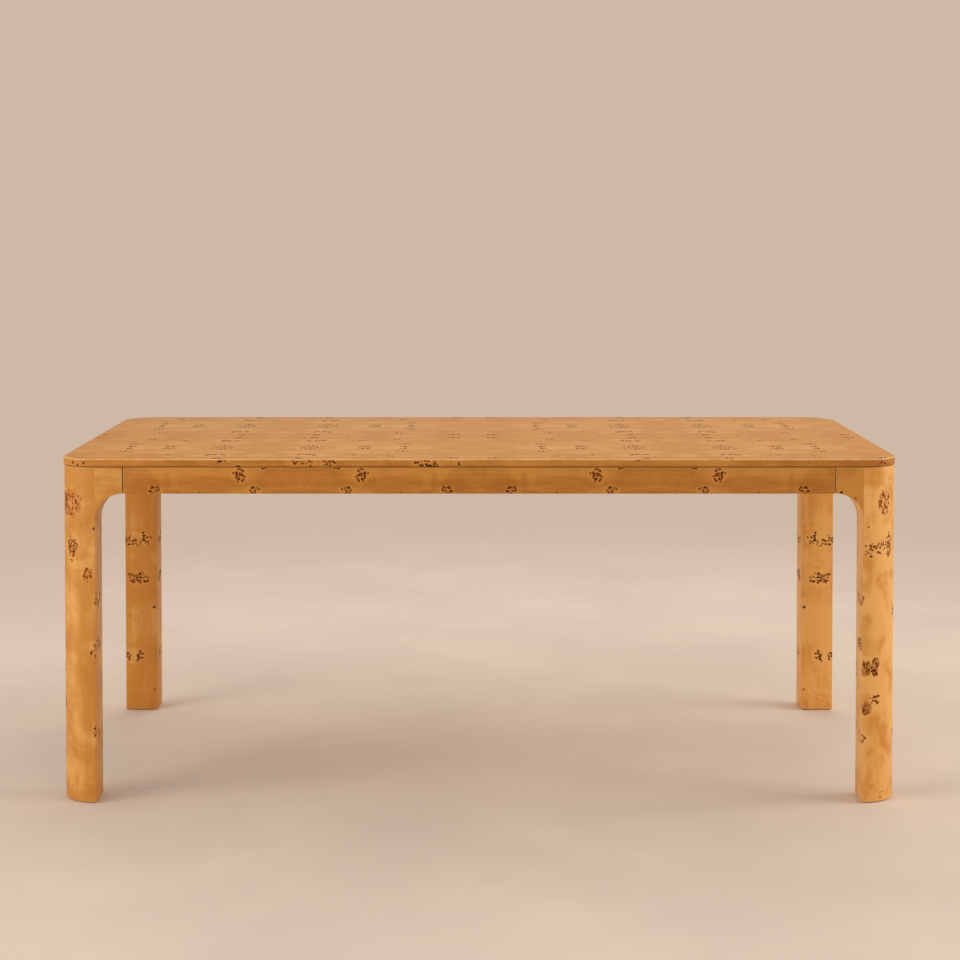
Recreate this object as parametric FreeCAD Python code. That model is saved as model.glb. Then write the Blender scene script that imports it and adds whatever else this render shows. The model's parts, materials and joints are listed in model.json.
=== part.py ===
"""Parsons dining table in burl veneer.

A thin slab top with radiused corners floats on a shadow gap over four aprons. Each leg is a
quarter-round post whose round face runs in line with the corner of the top. Two knees sweep
from every post into the aprons, and a narrow groove marks the seam between a leg head and an apron.
Diagonal braces, leg bolts, dowels, cleats and cross rails hold the frame together underneath, and
each leg stands on a levelling foot that screws in and out.

Millimetres. The origin is on the floor under the middle of the top, +X runs along the table to the
right, +Y runs from the front to the rear and +Z is up.
"""

import FreeCAD
import Part
import math
import os

# Overall size
table_length = 1830.0
table_width = 915.0
table_height = 752.0

# Top slab and its layers
top_thickness = 16.0
veneer_thickness = 0.8
edge_band_thickness = 2.0
top_overhang = 1.5  # past the frame, all round

# Legs and knees
leg_size = 80.0  # flat faces and outer radius of the quarter-round post
knee_radius = 60.0  # concave sweep from a post into an apron
knee_housing = 6.0  # how far a knee is let into its post
bolt_notch_width = 18.0  # down the inner edge of a leg head, for the leg bolts

# Aprons and shadow lines
apron_height = 57.0
apron_thickness = 22.0
reveal_gap = 2.0  # between the top and the frame
reveal_setback = 8.0  # of the dark spacer from the outer faces
seam_gap = 2.0  # groove between a leg head and an apron
seam_depth = 6.0

# Frame under the top
brace_thickness = 28.0
brace_inset = 5.0  # above and below, from the edges of the apron
brace_margin = 10.0  # along the apron, from the line across the knees' inner corners
cleat_width = 18.0
cleat_height = 20.0
cleat_margin = 5.0  # free end beside a brace
rail_thickness = 22.0
rail_height = 45.0
rail_gap = 1.0  # between a cross rail and the cleats beside it
rail_names = ("left_cross_rail", "middle_cross_rail", "right_cross_rail")

# Fasteners
fit_clearance = 0.1  # round pieces in their holes, on the radius
end_clearance = 1.0  # past the end of a dowel, screw or bolt
dowel_radius = 4.0
dowel_length = 28.0
dowel_edge = 15.0  # from the upper and lower edge of the apron
rail_dowel_depth = 12.0  # into the inner face of an apron
bolt_radius = 4.0
bolt_head_flats = 13.0
bolt_head_height = 5.3
washer_radius = 10.0
washer_thickness = 2.0
insert_radius = 6.0
insert_length = 22.0
screw_radius = 2.0
screw_head_radius = 4.0
screw_head_height = 2.5
screw_point = 4.0
top_screw_bite = 10.0  # into the top
brace_screw_bite = 12.0  # into the apron
brace_screw_shank = 16.0  # through the brace
top_screws_per_cleat = 2

# Levelling feet
foot_stand = 2.0  # of a leg end above the floor, foot fully in
foot_radius = 14.0
foot_thickness = 6.0
foot_rounding = 1.0
foot_recess_clearance = 1.0  # round the foot
foot_seat_clearance = 0.3  # above the foot
foot_stud_radius = 4.0
foot_stud_length = 30.0  # above the foot
foot_insert_length = 18.0

# Levels above the floor
top_underside = table_height - top_thickness
frame_top = top_underside - reveal_gap
apron_underside = frame_top - apron_height
knee_toe = apron_underside - knee_radius
foot_recess_top = foot_thickness + foot_seat_clearance

# Frame under the top, and distances from its corner along either side
frame_length = table_length - 2 * top_overhang
frame_width = table_width - 2 * top_overhang
seam_place = leg_size + knee_radius
brace_near = seam_place + leg_size - apron_thickness + brace_margin
brace_foot = brace_thickness * math.sqrt(2)  # length of a brace's end on the apron
brace_far = brace_near + brace_foot
brace_screw_place = brace_near + brace_foot / 3
cleat_start = brace_far + cleat_margin
foot_place = leg_size * (1 - 4 / (3 * math.pi))  # centroid of the quarter-round section

# Spans between the seams, and each side's turn about the middle of the table
long_span = frame_length - 2 * seam_place
end_span = frame_width - 2 * seam_place
long_sides = {"front": 0, "rear": 180}
end_sides = {"right": 90, "left": 270}
corners = {
    "front_left": (False, False),
    "front_right": (True, False),
    "rear_left": (False, True),
    "rear_right": (True, True),
}

dowel_line = (seam_depth + apron_thickness) / 2  # inward from the outer faces
dowel_heights = (apron_underside + dowel_edge, frame_top - dowel_edge)
brace_underside = apron_underside + brace_inset
brace_top = frame_top - brace_inset
brace_height = brace_top - brace_underside
brace_fixing_heights = (brace_underside + brace_height / 4, brace_top - brace_height / 4)
rail_underside = top_underside - rail_height
rail_dowel_heights = (rail_underside + rail_height / 4, frame_top - dowel_edge)
rail_pitch = long_span / (len(rail_names) + 1)
rail_places = [(i + 1) * rail_pitch - long_span / 2 for i in range(len(rail_names))]

origin = FreeCAD.Vector(0, 0, 0)
x_axis = FreeCAD.Vector(1, 0, 0)
y_axis = FreeCAD.Vector(0, 1, 0)
z_axis = FreeCAD.Vector(0, 0, 1)
corner_point = FreeCAD.Vector(-frame_length / 2, -frame_width / 2, 0)
corner_diagonal = FreeCAD.Vector(1, 1, 0).normalize()  # from the front left corner inwards


# Small helpers

def from_corner(x, y, z):
    """A point measured inwards from the front left corner of the frame."""
    return corner_point + FreeCAD.Vector(x, y, z)


def prism(points, height):
    """Upright solid on a flat outline of straight lines."""
    outline = Part.makePolygon(points + points[:1])
    return Part.Face(outline).extrude(z_axis * height)


def rod(radius, start, direction, length):
    return Part.makeCylinder(radius, length, start, direction)


def turned(shape, angle):
    """A copy turned about the upright axis through the middle of the table."""
    copy = shape.copy()
    copy.rotate(origin, z_axis, angle)
    return copy


def across_diagonal(shape):
    """A front left piece swapped from the long side to the end side of its corner."""
    return shape.mirror(corner_point, FreeCAD.Vector(1, -1, 0))


def at_corner(shape, to_right, to_rear):
    """A front left piece carried to another corner over the table's middle planes."""
    if to_right:
        shape = shape.mirror(origin, x_axis)
    if to_rear:
        shape = shape.mirror(origin, y_axis)
    return shape


def at_every_corner(shapes):
    return [at_corner(shape, *sides) for sides in corners.values() for shape in shapes]


def rounded_plate(inset, low, high):
    """Plate on the outline of the top, drawn in by inset."""
    length = table_length - 2 * inset
    width = table_width - 2 * inset
    plate = Part.makeBox(length, width, high - low, FreeCAD.Vector(-length / 2, -width / 2, low))
    uprights = [edge for edge in plate.Edges if edge.BoundBox.ZLength > (high - low) / 2]
    return plate.makeFillet(leg_size + top_overhang - inset, uprights)


def turned_profile(points, start, direction):
    """Solid of revolution. Points give (radius, distance along the direction)."""
    outline = Part.makePolygon([FreeCAD.Vector(r, 0, d) for r, d in points + points[:1]])
    solid = Part.Face(outline).revolve(origin, z_axis, 360)
    solid.Placement = FreeCAD.Placement(start, FreeCAD.Rotation(z_axis, direction))
    return solid


def ring(outer, inner, start, direction, length):
    return rod(outer, start, direction, length).cut(rod(inner, start, direction, length))


# Fasteners

def screw(start, direction, length, grow=0.0, past_end=0.0):
    """Countersunk wood screw from its head to its point. Grown, it is the hole for one."""
    points = [
        (0, 0),
        (screw_head_radius + grow, 0),
        (screw_radius + grow, screw_head_height),
        (screw_radius + grow, length - screw_point + past_end),
        (0, length + past_end),
    ]
    return turned_profile(points, start, direction)


def screw_hole(start, direction, length):
    return screw(start, direction, length, fit_clearance, end_clearance)


def dowel(middle, direction, before, after):
    """Dowel through a joint at middle, reaching a length before it and a length after it."""
    return rod(dowel_radius, middle - direction * before, direction, before + after)


def dowel_hole(middle, direction, before, after):
    start = middle - direction * (before + end_clearance)
    return rod(dowel_radius + fit_clearance, start, direction, before + after + 2 * end_clearance)


def seam_dowel_places():
    """Joint points of the dowels across the front left seam of the front apron."""
    return [from_corner(seam_place, dowel_line, z) for z in dowel_heights]


def seam_dowels(make):
    return [make(p, x_axis, dowel_length / 2, dowel_length / 2) for p in seam_dowel_places()]


def knee_dowels(make):
    """Dowels from the front left post into its knee on the front side.

    One row is in line with the dowels of the seam, the other in the middle of the knee's depth.
    """
    rows = (dowel_line, leg_size / 2)
    places = [from_corner(leg_size - knee_housing, y, z) for y in rows for z in dowel_heights]
    return [make(p, x_axis, dowel_length / 2, dowel_length / 2) for p in places]


def rail_dowels(make):
    """Dowels from the front apron into the front ends of the cross rails."""
    inner_face = apron_thickness - frame_width / 2
    places = [FreeCAD.Vector(x, inner_face, z) for x in rail_places for z in rail_dowel_heights]
    return [make(p, y_axis, rail_dowel_depth, dowel_length - rail_dowel_depth) for p in places]


def brace_screw_heads():
    """Head points of the screws from the front left brace into the front apron."""
    inset = apron_thickness + brace_screw_shank
    return [from_corner(brace_screw_place, inset, z) for z in brace_fixing_heights]


def brace_screws(make):
    length = brace_screw_shank + brace_screw_bite
    return [make(p, -y_axis, length) for p in brace_screw_heads()]


def cleat_stretches(long_side):
    """Start and end, along its side, of each cleat between the braces and the cross rails."""
    half = (frame_length if long_side else frame_width) / 2 - cleat_start
    gap = rail_thickness / 2 + rail_gap
    stops = rail_places if long_side else []
    starts = [-half] + [x + gap for x in stops]
    ends = [x - gap for x in stops] + [half]
    return list(zip(starts, ends))


def top_screws(make, long_side, face_offset):
    """Screws up through the cleats of one side, as it stands at the front, into the top."""
    across = apron_thickness + cleat_width / 2 - face_offset
    low = top_underside - cleat_height
    placed = []
    for start, end in cleat_stretches(long_side):
        for i in range(top_screws_per_cleat):
            x = start + (end - start) * (i + 0.5) / top_screws_per_cleat
            placed.append(make(FreeCAD.Vector(x, across, low), z_axis, cleat_height + top_screw_bite))
    return placed


def all_top_screws(make):
    placed = []
    for angle in long_sides.values():
        placed += [turned(s, angle) for s in top_screws(make, True, frame_width / 2)]
    for angle in end_sides.values():
        placed += [turned(s, angle) for s in top_screws(make, False, frame_length / 2)]
    return placed


def bolt_seat(distance, z):
    """Point on the diagonal of the front left corner, at a distance from the corner."""
    return corner_point + corner_diagonal * distance + z_axis * z


leg_edge_distance = leg_size * math.sqrt(2)  # inner edge of the leg
notch_distance = leg_edge_distance - bolt_notch_width / 2
insert_bore = insert_radius + fit_clearance
brace_outer_distance = (brace_near + apron_thickness) / math.sqrt(2)
brace_inner_distance = brace_outer_distance + brace_thickness
bolt_reach = brace_inner_distance + washer_thickness - notch_distance + insert_length


def leg_bolt(z):
    """Hexagon bolt from the inside of the brace into the post."""
    seat = bolt_seat(brace_inner_distance + washer_thickness, z)
    corner_radius = bolt_head_flats / math.sqrt(3)
    angles = [math.radians(60 * i) for i in range(6)]
    outline = [FreeCAD.Vector(corner_radius * math.cos(a), corner_radius * math.sin(a), 0) for a in angles]
    head = prism(outline, bolt_head_height)
    head.Placement = FreeCAD.Placement(seat, FreeCAD.Rotation(z_axis, corner_diagonal))
    return head.fuse(rod(bolt_radius, seat, -corner_diagonal, bolt_reach))


def leg_bolt_washer(z):
    seat = bolt_seat(brace_inner_distance, z)
    return ring(washer_radius, bolt_radius + fit_clearance, seat, corner_diagonal, washer_thickness)


def leg_bolt_insert(z):
    mouth = bolt_seat(notch_distance, z)
    return ring(insert_radius, bolt_radius + fit_clearance, mouth, -corner_diagonal, insert_length)


# Top

def top_core():
    low = top_underside + veneer_thickness
    core = rounded_plate(edge_band_thickness, low, table_height - veneer_thickness)
    return core.cut(Part.makeCompound(all_top_screws(screw_hole)))


def top_face_veneer():
    return rounded_plate(0, table_height - veneer_thickness, table_height)


def top_backing_veneer():
    sheet = rounded_plate(edge_band_thickness, top_underside, top_underside + veneer_thickness)
    return sheet.cut(Part.makeCompound(all_top_screws(screw_hole)))


def top_edge_band():
    high = table_height - veneer_thickness
    return rounded_plate(0, top_underside, high).cut(rounded_plate(edge_band_thickness, top_underside, high))


# Frame sides, each made at the front and then turned to its side

def apron(long_side, span, face_offset):
    """Rail between two leg heads. A tongue at each end leaves the seam groove round it."""
    body_length = span - 2 * seam_gap
    body_corner = FreeCAD.Vector(-body_length / 2, -face_offset, apron_underside)
    body = Part.makeBox(body_length, apron_thickness, apron_height, body_corner)
    tongue_corner = FreeCAD.Vector(-span / 2, seam_depth - face_offset, apron_underside + seam_depth)
    tongue = Part.makeBox(span, apron_thickness - seam_depth, apron_height - seam_depth, tongue_corner)
    rail = body.fuse(tongue).removeSplitter()
    to_side = FreeCAD.Vector(-span / 2 - seam_place, -face_offset, 0) - corner_point
    holes = [hole.translated(to_side) for hole in seam_dowels(dowel_hole) + brace_screws(screw_hole)]
    holes += [hole.mirror(origin, x_axis) for hole in holes]
    if long_side:
        holes += rail_dowels(dowel_hole)
    return rail.cut(Part.makeCompound(holes))


def reveal_strip(span, face_offset):
    """Dark spacer between an apron and the top, set back to leave a shadow line."""
    corner = FreeCAD.Vector(-span / 2, reveal_setback - face_offset, frame_top)
    return Part.makeBox(span, apron_thickness - reveal_setback, reveal_gap, corner)


def top_cleats(long_side, face_offset):
    """Square strips along the inner face of an apron, drilled for the screws into the top."""
    low = top_underside - cleat_height
    strips = []
    for start, end in cleat_stretches(long_side):
        corner = FreeCAD.Vector(start, apron_thickness - face_offset, low)
        strips.append(Part.makeBox(end - start, cleat_width, cleat_height, corner))
    holes = Part.makeCompound(top_screws(screw_hole, long_side, face_offset))
    return [strip.cut(holes) for strip in strips]


def cross_rail(x):
    """Batten across the table under the top, doweled between the long aprons."""
    length = frame_width - 2 * apron_thickness
    corner = FreeCAD.Vector(x - rail_thickness / 2, -length / 2, rail_underside)
    rail = Part.makeBox(rail_thickness, length, rail_height, corner)
    holes = rail_dowels(dowel_hole)
    holes += [hole.mirror(origin, y_axis) for hole in holes]
    return rail.cut(Part.makeCompound(holes))


# Front left corner, carried to the other corners by mirroring

def quarter_round(radius, low, high):
    """Quarter of a cylinder about the inner edge of the leg."""
    column = Part.makeCylinder(radius, high - low, origin, z_axis, 90)
    column.rotate(origin, z_axis, 180)
    return column.translated(from_corner(leg_size, leg_size, low))


def knee_elevation():
    """Knee seen from the front, with its concave sweep, as deep as the leg."""
    toe_inner = from_corner(leg_size - knee_housing, 0, knee_toe)
    toe_outer = from_corner(leg_size, 0, knee_toe)
    sweep_middle = toe_outer + FreeCAD.Vector(
        knee_radius * (1 - math.cos(math.pi / 4)), 0, knee_radius * math.sin(math.pi / 4)
    )
    seam_low = from_corner(seam_place, 0, apron_underside)
    seam_high = from_corner(seam_place, 0, frame_top)
    housing_high = from_corner(leg_size - knee_housing, 0, frame_top)
    edges = [
        Part.LineSegment(toe_inner, toe_outer),
        Part.Arc(toe_outer, sweep_middle, seam_low),
        Part.LineSegment(seam_low, seam_high),
        Part.LineSegment(seam_high, housing_high),
        Part.LineSegment(housing_high, toe_inner),
    ]
    outline = Part.Wire([edge.toShape() for edge in edges])
    return Part.Face(outline).extrude(y_axis * leg_size)


def knee_plan(reach):
    """Upright block from the tongue of a knee, mitred against the other knee's, out to a reach."""
    tongue = leg_size - knee_housing
    outline = [
        from_corner(tongue, 0, knee_toe),
        from_corner(reach, 0, knee_toe),
        from_corner(reach, leg_size, knee_toe),
        from_corner(leg_size, leg_size, knee_toe),
        from_corner(tongue, tongue, knee_toe),
    ]
    return prism(outline, frame_top - knee_toe)


def leg_bolt_cuts():
    """Notch down the inner edge of a leg head, between the knees, and the bores behind it."""
    across = FreeCAD.Vector(1, -1, 0).normalize() * (bolt_notch_width / 2)
    back = bolt_seat(notch_distance, brace_underside)
    mouth = bolt_seat(leg_edge_distance + bolt_notch_width / 2 + end_clearance, brace_underside)
    outline = [back + across, mouth + across, mouth - across, back - across]
    cuts = [prism(outline, frame_top - brace_underside)]
    for z in brace_fixing_heights:
        start = bolt_seat(notch_distance, z)
        cuts.append(rod(insert_bore, start, -corner_diagonal, insert_length + end_clearance))
    return cuts


def long_knee():
    """Knee on the front side, flush with the round face of the post."""
    height = frame_top - knee_toe
    arm = Part.makeBox(knee_radius, leg_size, height, from_corner(leg_size, 0, knee_toe))
    outer_form = quarter_round(leg_size, knee_toe, frame_top).fuse(arm)
    block = knee_elevation().common(knee_plan(seam_place)).common(outer_form)
    cuts = leg_bolt_cuts() + knee_dowels(dowel_hole) + seam_dowels(dowel_hole)
    return block.cut(Part.makeCompound(cuts))


def leg_post():
    """Quarter-round post with housings for the knees, a notch for the bolts and a recess for the foot."""
    post = quarter_round(leg_size, foot_stand, frame_top)
    knee_cuts = [knee_plan(leg_size)] + knee_dowels(dowel_hole)
    cuts = knee_cuts + [across_diagonal(cut) for cut in knee_cuts] + leg_bolt_cuts()
    foot_axis = from_corner(foot_place, foot_place, 0)
    recess_top = foot_axis + z_axis * foot_recess_top
    stud_top = foot_thickness + foot_stud_length + end_clearance
    cuts.append(rod(foot_radius + foot_recess_clearance, foot_axis, z_axis, foot_recess_top))
    cuts.append(rod(insert_bore, recess_top, z_axis, foot_insert_length))
    cuts.append(rod(foot_stud_radius + fit_clearance, foot_axis, z_axis, stud_top))
    return post.cut(Part.makeCompound(cuts))


def reveal_corner():
    """Dark spacer on a leg head, bent round the corner in line with the strips on the aprons."""
    band = quarter_round(leg_size - reveal_setback, frame_top, top_underside)
    band = band.cut(quarter_round(leg_size - apron_thickness, frame_top, top_underside))
    arm_corner = from_corner(leg_size, reveal_setback, frame_top)
    arm = Part.makeBox(knee_radius, apron_thickness - reveal_setback, reveal_gap, arm_corner)
    return band.fuse([arm, across_diagonal(arm)]).removeSplitter()


def corner_brace():
    """Diagonal block between two aprons, bored for the leg bolts and the screws into the aprons."""
    outline = [
        from_corner(brace_near, apron_thickness, brace_underside),
        from_corner(brace_far, apron_thickness, brace_underside),
        from_corner(apron_thickness, brace_far, brace_underside),
        from_corner(apron_thickness, brace_near, brace_underside),
    ]
    block = prism(outline, brace_height)
    cuts = []
    for z in brace_fixing_heights:
        outer_face = bolt_seat(brace_outer_distance, z)
        cuts.append(rod(bolt_radius + fit_clearance, outer_face, corner_diagonal, brace_thickness))
    head_bore = screw_head_radius + end_clearance
    screw_cuts = brace_screws(screw_hole)
    screw_cuts += [rod(head_bore, head, y_axis, brace_foot) for head in brace_screw_heads()]
    cuts += screw_cuts + [across_diagonal(cut) for cut in screw_cuts]
    return block.cut(Part.makeCompound(cuts))


def levelling_pad():
    """Round foot under a leg, with eased rims."""
    pad = rod(foot_radius, from_corner(foot_place, foot_place, 0), z_axis, foot_thickness)
    rims = [edge for edge in pad.Edges if edge.BoundBox.ZLength < foot_rounding and edge.Closed]
    return pad.makeFillet(foot_rounding, rims)


def levelling_stud():
    start = from_corner(foot_place, foot_place, foot_thickness)
    return rod(foot_stud_radius, start, z_axis, foot_stud_length)


def levelling_insert():
    start = from_corner(foot_place, foot_place, foot_recess_top)
    return ring(insert_radius, foot_stud_radius + fit_clearance, start, z_axis, foot_insert_length)


# Nodes

def top_nodes():
    return {
        "top_core": [top_core()],
        "top_face_veneer": [top_face_veneer()],
        "top_backing_veneer": [top_backing_veneer()],
        "top_edge_band": [top_edge_band()],
    }


def side_nodes():
    nodes = {}
    sides = [(name, angle, True) for name, angle in long_sides.items()]
    sides += [(name, angle, False) for name, angle in end_sides.items()]
    for name, angle, long_side in sides:
        span = long_span if long_side else end_span
        face_offset = (frame_width if long_side else frame_length) / 2
        nodes[name + "_apron"] = [turned(apron(long_side, span, face_offset), angle)]
        nodes[name + "_reveal_strip"] = [turned(reveal_strip(span, face_offset), angle)]
        nodes[name + "_top_cleats"] = [turned(c, angle) for c in top_cleats(long_side, face_offset)]
    for name, x in zip(rail_names, rail_places):
        nodes[name] = [cross_rail(x)]
    return nodes


def corner_nodes():
    knee = long_knee()
    pieces = {
        "leg_post": leg_post(),
        "long_knee": knee,
        "end_knee": across_diagonal(knee),
        "reveal_corner": reveal_corner(),
        "corner_brace": corner_brace(),
        "levelling_pad": levelling_pad(),
        "levelling_stud": levelling_stud(),
    }
    return {
        corner + "_" + name: [at_corner(piece, *sides)]
        for corner, sides in corners.items()
        for name, piece in pieces.items()
    }


def fastener_nodes():
    seams = seam_dowels(dowel)
    knees = knee_dowels(dowel)
    rails = rail_dowels(dowel)
    braces = brace_screws(screw)
    return {
        "leg_bolts": at_every_corner([leg_bolt(z) for z in brace_fixing_heights]),
        "leg_bolt_washers": at_every_corner([leg_bolt_washer(z) for z in brace_fixing_heights]),
        "leg_bolt_inserts": at_every_corner([leg_bolt_insert(z) for z in brace_fixing_heights]),
        "brace_screws": at_every_corner(braces + [across_diagonal(s) for s in braces]),
        "apron_dowels": at_every_corner(seams + [across_diagonal(d) for d in seams]),
        "knee_dowels": at_every_corner(knees + [across_diagonal(d) for d in knees]),
        "rail_dowels": rails + [d.mirror(origin, y_axis) for d in rails],
        "top_screws": all_top_screws(screw),
        "levelling_inserts": at_every_corner([levelling_insert()]),
    }


def main():
    os.makedirs("parts", exist_ok=True)
    nodes = {**top_nodes(), **side_nodes(), **corner_nodes(), **fastener_nodes()}
    for name, solids in nodes.items():
        shape = solids[0] if len(solids) == 1 else Part.makeCompound(solids)
        shape.exportStep("parts/" + name + ".step")


main()
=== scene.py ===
"""Burl parsons dining table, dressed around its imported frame.

The top, the legs and the aprons are modelled as veneered pieces with eased arrises, and every
other node of the frame keeps its shape and gets a finish. Lengths are in metres. The frame's
origin is on the floor under the middle of the top, +X runs along the table to the right, +Y to
the rear and +Z up.
"""

import json
import math

import bmesh
import bpy
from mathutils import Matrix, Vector


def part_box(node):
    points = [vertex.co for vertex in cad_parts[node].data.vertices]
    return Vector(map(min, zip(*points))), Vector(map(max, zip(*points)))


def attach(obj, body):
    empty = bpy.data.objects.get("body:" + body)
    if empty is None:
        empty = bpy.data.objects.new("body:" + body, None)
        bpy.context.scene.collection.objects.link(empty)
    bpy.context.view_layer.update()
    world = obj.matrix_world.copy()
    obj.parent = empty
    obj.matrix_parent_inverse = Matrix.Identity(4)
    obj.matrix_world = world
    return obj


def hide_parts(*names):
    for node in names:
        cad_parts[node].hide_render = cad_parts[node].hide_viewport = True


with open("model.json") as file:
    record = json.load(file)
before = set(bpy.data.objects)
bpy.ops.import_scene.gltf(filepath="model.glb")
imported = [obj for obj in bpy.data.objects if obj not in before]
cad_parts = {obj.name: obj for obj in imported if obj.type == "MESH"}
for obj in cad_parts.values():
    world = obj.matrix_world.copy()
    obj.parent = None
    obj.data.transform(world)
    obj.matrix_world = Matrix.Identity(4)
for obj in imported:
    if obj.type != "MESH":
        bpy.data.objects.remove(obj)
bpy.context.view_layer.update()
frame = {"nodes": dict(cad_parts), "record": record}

bl_info = {
    "name": "Burl parsons table",
    "version": (1, 0, 0),
    "blender": (4, 5, 0),
    "location": "View3D > Sidebar > Table",
    "description": "Dresses the packed frame of a parsons table in burl veneer, in a plain studio",
    "category": "Object",
}

# Places read from the frame
TOP_LOW, TOP_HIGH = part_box("top_face_veneer")
BAND_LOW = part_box("top_edge_band")[0]
CORE_LOW, CORE_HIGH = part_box("top_core")
POST_LOW, POST_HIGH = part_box("front_left_leg_post")
LONG_KNEE_LOW, LONG_KNEE_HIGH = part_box("front_left_long_knee")
PAD_LOW, PAD_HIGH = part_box("front_left_levelling_pad")
STUD_LOW, STUD_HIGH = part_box("front_left_levelling_stud")
INSERT_LOW, INSERT_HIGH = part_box("levelling_inserts")
APRON_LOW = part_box("front_apron")[0]
STRIP_LOW, STRIP_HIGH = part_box("front_reveal_strip")
LINE_WIDTH = STRIP_HIGH.z - STRIP_LOW.z  # of the shadow line under the top
LINE_DEPTH = STRIP_LOW.y - APRON_LOW.y
LEG_RADIUS = POST_HIGH.x - POST_LOW.x
KNEE_RADIUS = LONG_KNEE_HIGH.x - POST_HIGH.x
KNEE_TOE = LONG_KNEE_LOW.z

# Limits and steps of the modelling
TOUCH = 1e-5  # points closer than this are one point
STRAIGHT = 0.999  # part of a normal along a direction from which a face looks straight along it
NEARLY = 0.99  # the same where edges are rounded already
TOWARDS = 0.5  # part from which a face looks roughly along it
ACROSS = 0.1  # part under which it looks across it
ROUNDED_OFF = 0.95  # part of the upright under which a face belongs to a rounded upper edge
ARRIS_ANGLE = math.radians(50)  # edges sharper than this are eased
SMOOTH_ANGLE = math.radians(35)  # faces that meet at less than this are shaded as one
ARRIS_STEPS = 2
RIM_STEPS = 3  # of the top's upper rim
BORE_STEPS = 48  # round the bore of a foot
BORE_MARGIN = 1.1  # beside a stud's height, to find the faces of its bore
GROOVE_DEPTH = 0.75  # of the groove at a seam, beside the depth of the shadow line

UP = Vector((0, 0, 1))
ALONG = Vector((1, 0, 0))
REARWARD = Vector((0, 1, 0))

# Factors that mirror the front left corner to each corner
CORNERS = {
    "front_left": (1, 1), "front_right": (-1, 1), "rear_left": (1, -1), "rear_right": (-1, -1)
}

# Veneer leaves, matched like the pages of an open book, and the knots on them. Clusters are groups
# of pin knots, fine ones have smaller pins and gaps are bare places in them. Eyes are reddish and
# streaked, burrs are dense and dark, and pins are single knots.
# A knot is its middle and its radii on the leaf. A radius of 0 runs through the piece.
KNOT_KINDS = ("clusters", "fine", "gaps", "eyes", "burrs", "pins")
KNOT_DEPTH = 0.011  # into the leaf of a flat face, so that its knots end at the arris
TOP_LEAF = (0.468, 0.2346)
TOP_LEAF_SHIFT = 0.014  # of a leaf joint from the middle of the top
APRON_LEAF = 0.387
END_APRON_LEAF = 0.316
TOP_KNOTS = {
    "clusters": (
        ((0.246, 0.216, 0), (0.016, 0.013, 0)), ((0.155, 0.219, 0), (0.015, 0.011, 0)),
        ((0.157, 0.169, 0), (0.017, 0.01, 0)), ((0.044, 0.033, 0), (0.017, 0.011, 0)),
        ((0.385, 0.031, 0), (0.017, 0.011, 0)), ((0.365, 0.0955, 0), (0.026, 0.013, 0)),
        ((0.185, 0.074, 0), (0.014, 0.01, 0)), ((0.266, 0.09, 0), (0.008, 0.009, 0)),
    ),
    "fine": (((0.365, 0.2346, 0), (0.026, 0.047, 0)),),
    "pins": (((0.118, 0.122, 0), (0.0015, 0.0015, 0)), ((0.3, 0.012, 0), (0.0015, 0.002, 0))),
}
APRON_KNOTS = {
    "clusters": (
        ((0.07, 0, 0.682), (0.013, 0, 0.01)), ((0.255, 0, 0.718), (0.0135, 0, 0.0145)),
        ((0.286, 0, 0.682), (0.013, 0, 0.01)), ((0.306, 0, 0.735), (0.01, 0, 0.006)),
    ),
    "pins": (((0.168, 0, 0.679), (0.0015, 0, 0.001)), ((0.352, 0, 0.727), (0.0015, 0, 0.001))),
}
END_APRON_KNOTS = {
    "clusters": (
        ((0, 0.062, 0.69), (0, 0.013, 0.012)), ((0, 0.204, 0.718), (0, 0.0135, 0.0145)),
        ((0, 0.262, 0.682), (0, 0.013, 0.01)),
    ),
    "pins": (((0, 0.13, 0.724), (0, 0.0015, 0.001)),),
}
BAND_KNOTS = {
    "clusters": (
        ((-0.551, -0.457, 0.7485), (0.017, 0.02, 0.0035)),
        ((-0.386, -0.457, 0.744), (0.023, 0.02, 0.009)),
        ((-0.326, -0.457, 0.743), (0.013, 0.02, 0.009)),
        ((-0.114, -0.457, 0.743), (0.028, 0.02, 0.01)),
        ((0.914, 0.12, 0.743), (0.02, 0.02, 0.009)),
        ((-0.914, -0.15, 0.743), (0.02, 0.018, 0.009)),
        ((-0.42, 0.457, 0.743), (0.018, 0.02, 0.009)),
        ((0.25, 0.457, 0.744), (0.022, 0.02, 0.009)),
    ),
    "pins": (
        ((-0.883, -0.441, 0.743), (0.0022, 0.0022, 0.0022)),
        ((-0.872, -0.448, 0.7385), (0.0018, 0.0018, 0.0018)),
        ((-0.858, -0.454, 0.743), (0.0024, 0.0024, 0.0024)),
        ((-0.522, -0.457, 0.7365), (0.004, 0.02, 0.0015)),
        ((-0.044, -0.457, 0.742), (0.002, 0.02, 0.003)),
        ((0.344, -0.457, 0.749), (0.004, 0.02, 0.001)),
        ((0.869, -0.45, 0.741), (0.0018, 0.0018, 0.0018)),
        ((0.874, -0.447, 0.745), (0.0022, 0.0022, 0.0022)),
        ((0.881, -0.442, 0.7415), (0.0018, 0.0018, 0.0018)),
        ((0.62, 0.457, 0.743), (0.002, 0.02, 0.002)),
        ((0.914, -0.24, 0.744), (0.02, 0.002, 0.002)),
    ),
}

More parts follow.
